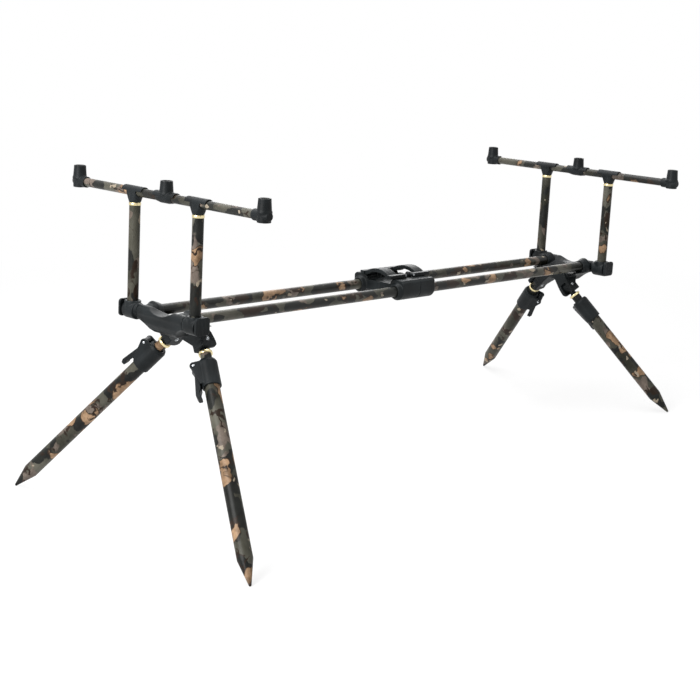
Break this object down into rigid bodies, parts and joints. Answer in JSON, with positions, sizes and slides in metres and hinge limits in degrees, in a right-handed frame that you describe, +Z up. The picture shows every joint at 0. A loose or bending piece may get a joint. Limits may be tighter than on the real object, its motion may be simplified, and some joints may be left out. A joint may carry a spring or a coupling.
{
  "type": "rod pod",
  "caption": "Folding rod pod: twin main bars between two moulded hubs, folding goalposts with alarm cups, and raked telescopic legs with cam clamps.",
  "frame": {"origin": "on the floor, midway between the four leg points", "axes": "+X from the tall front end to the low rear end, +Y to the left side, +Z up"},
  "size_m": [1.0526, 0.5314, 0.4876],
  "materials": {
    "black_nylon": "satin glass-filled nylon moulding",
    "camo_tube": "drawn tube with a camouflage print under clear lacquer",
    "brass_trim": "turned and polished",
    "bright_steel": "bright drawn"
  },
  "bodies": {
    "front_frame": {"front_hub": "black_nylon", "front_main_bars": "camo_tube", "front_bridge": "black_nylon", "front_spigot": "bright_steel", "front_loop_pins": "bright_steel", "front_leg_pins": "bright_steel"},
    "front_loop": {"front_loop_lever": "black_nylon"},
    "front_goalpost": {"front_upright_sockets": "black_nylon", "front_uprights": "camo_tube", "front_upright_rings": "brass_trim", "front_tees": "black_nylon", "front_buzz_bar": "camo_tube", "front_end_cups": "black_nylon", "front_centre_cup": "black_nylon", "front_cup_inserts": "brass_trim", "front_button_springs": "brass_trim"},
    "rear_frame": {"rear_hub": "black_nylon", "rear_main_bars": "camo_tube", "rear_bridge": "black_nylon", "rear_spigot": "bright_steel", "rear_loop_pins": "bright_steel", "rear_leg_pins": "bright_steel"},
    "rear_loop": {"rear_loop_lever": "black_nylon"},
    "rear_goalpost": {"rear_upright_sockets": "black_nylon", "rear_uprights": "camo_tube", "rear_upright_rings": "brass_trim", "rear_tees": "black_nylon", "rear_buzz_bar": "camo_tube", "rear_end_cups": "black_nylon", "rear_centre_cup": "black_nylon", "rear_cup_inserts": "brass_trim", "rear_button_springs": "brass_trim"},
    "front_left_push_button": {"front_left_button": "black_nylon"},
    "front_left_leg": {"front_left_knuckle": "black_nylon", "front_left_leg_ring": "brass_trim", "front_left_inner_tube": "camo_tube"},
    "front_left_foot": {"front_left_outer_tube": "camo_tube", "front_left_clamp": "black_nylon"},
    "front_left_clamp_lever": {"front_left_cam_lever": "black_nylon"},
    "front_right_push_button": {"front_right_button": "black_nylon"},
    "front_right_leg": {"front_right_knuckle": "black_nylon", "front_right_leg_ring": "brass_trim", "front_right_inner_tube": "camo_tube"},
    "front_right_foot": {"front_right_outer_tube": "camo_tube", "front_right_clamp": "black_nylon"},
    "front_right_clamp_lever": {"front_right_cam_lever": "black_nylon"},
    "rear_left_push_button": {"rear_left_button": "black_nylon"},
    "rear_left_leg": {"rear_left_knuckle": "black_nylon", "rear_left_leg_ring": "brass_trim", "rear_left_inner_tube": "camo_tube"},
    "rear_left_foot": {"rear_left_outer_tube": "camo_tube", "rear_left_clamp": "black_nylon"},
    "rear_left_clamp_lever": {"rear_left_cam_lever": "black_nylon"},
    "rear_right_push_button": {"rear_right_button": "black_nylon"},
    "rear_right_leg": {"rear_right_knuckle": "black_nylon", "rear_right_leg_ring": "brass_trim", "rear_right_inner_tube": "camo_tube"},
    "rear_right_foot": {"rear_right_outer_tube": "camo_tube", "rear_right_clamp": "black_nylon"},
    "rear_right_clamp_lever": {"rear_right_cam_lever": "black_nylon"}
  },
  "joints": [
    {"name": "halves_slide", "type": "slide", "parent": "front_frame", "child": "rear_frame", "axis": [0.9983, 0, -0.0577], "range_m": [0, 0.05]},
    {"name": "front_loop_lift", "type": "hinge", "parent": "front_frame", "child": "front_loop", "pos_m": [0.02011, 0, 0.29293], "axis": [0, 1, 0], "range_deg": [0, 70]},
    {"name": "front_goalpost_fold", "type": "hinge", "parent": "front_frame", "child": "front_goalpost", "pos_m": [-0.44635, 0, 0.29847], "axis": [0, 1, 0], "range_deg": [0, 82]},
    {"name": "rear_loop_lift", "type": "hinge", "parent": "rear_frame", "child": "rear_loop", "pos_m": [0.03808, 0, 0.29189], "axis": [0, -1, 0], "range_deg": [0, 70]},
    {"name": "rear_goalpost_fold", "type": "hinge", "parent": "rear_frame", "child": "rear_goalpost", "pos_m": [0.50207, 0, 0.24363], "axis": [0, -1, 0], "range_deg": [0, 82]},
    {"name": "front_left_button_push", "type": "slide", "parent": "front_goalpost", "child": "front_left_push_button", "axis": [0, -1, 0], "range_m": [0, 0.0025], "stiffness_N_per_m": 800, "deforming": ["front_button_springs"]},
    {"name": "front_left_leg_fold", "type": "hinge", "parent": "front_frame", "child": "front_left_leg", "pos_m": [-0.40191, 0.033, 0.25984], "axis": [0.0379, 0.7536, 0.6563], "range_deg": [-107, 0]},
    {"name": "front_left_leg_extend", "type": "slide", "parent": "front_left_leg", "child": "front_left_foot", "axis": [-0.3335, 0.6287, -0.7026], "range_m": [0, 0.2]},
    {"name": "front_left_clamp_open", "type": "hinge", "parent": "front_left_foot", "child": "front_left_clamp_lever", "pos_m": [-0.42095, 0.06943, 0.24596], "axis": [0.8876, 0.4605, -0.0093], "range_deg": [0, 85]},
    {"name": "front_right_button_push", "type": "slide", "parent": "front_goalpost", "child": "front_right_push_button", "axis": [0, 1, 0], "range_m": [0, 0.0025], "stiffness_N_per_m": 800, "deforming": ["front_button_springs"]},
    {"name": "front_right_leg_fold", "type": "hinge", "parent": "front_frame", "child": "front_right_leg", "pos_m": [-0.40191, -0.033, 0.25984], "axis": [-0.0379, 0.7536, -0.6563], "range_deg": [-107, 0]},
    {"name": "front_right_leg_extend", "type": "slide", "parent": "front_right_leg", "child": "front_right_foot", "axis": [-0.3335, -0.6287, -0.7026], "range_m": [0, 0.2]},
    {"name": "front_right_clamp_open", "type": "hinge", "parent": "front_right_foot", "child": "front_right_clamp_lever", "pos_m": [-0.42889, -0.04537, 0.2282], "axis": [0.5894, 0.4426, -0.6758], "range_deg": [0, 85]},
    {"name": "rear_left_button_push", "type": "slide", "parent": "rear_goalpost", "child": "rear_left_push_button", "axis": [0, -1, 0], "range_m": [0, 0.0025], "stiffness_N_per_m": 800, "deforming": ["rear_button_springs"]},
    {"name": "rear_left_leg_fold", "type": "hinge", "parent": "rear_frame", "child": "rear_left_leg", "pos_m": [0.45347, 0.033, 0.21038], "axis": [-0.0379, -0.7536, -0.6563], "range_deg": [-107, 0]},
    {"name": "rear_left_leg_extend", "type": "slide", "parent": "rear_left_leg", "child": "rear_left_foot", "axis": [0.2503, 0.6287, -0.7363], "range_m": [0, 0.13]},
    {"name": "rear_left_clamp_open", "type": "hinge", "parent": "rear_left_foot", "child": "rear_left_clamp_lever", "pos_m": [0.47318, 0.04369, 0.17324], "axis": [-0.8142, -0.2748, -0.5114], "range_deg": [0, 85]},
    {"name": "rear_right_button_push", "type": "slide", "parent": "rear_goalpost", "child": "rear_right_push_button", "axis": [0, 1, 0], "range_m": [0, 0.0025], "stiffness_N_per_m": 800, "deforming": ["rear_button_springs"]},
    {"name": "rear_right_leg_fold", "type": "hinge", "parent": "rear_frame", "child": "rear_right_leg", "pos_m": [0.45347, -0.033, 0.21038], "axis": [0.0379, -0.7536, 0.6563], "range_deg": [-107, 0]},
    {"name": "rear_right_leg_extend", "type": "slide", "parent": "rear_right_leg", "child": "rear_right_foot", "axis": [0.2503, -0.6287, -0.7363], "range_m": [0, 0.13]},
    {"name": "rear_right_clamp_open", "type": "hinge", "parent": "rear_right_foot", "child": "rear_right_clamp_lever", "pos_m": [0.47499, -0.04443, 0.17449], "axis": [0.7443, -0.3614, 0.5616], "range_deg": [0, 85]}
  ]
}
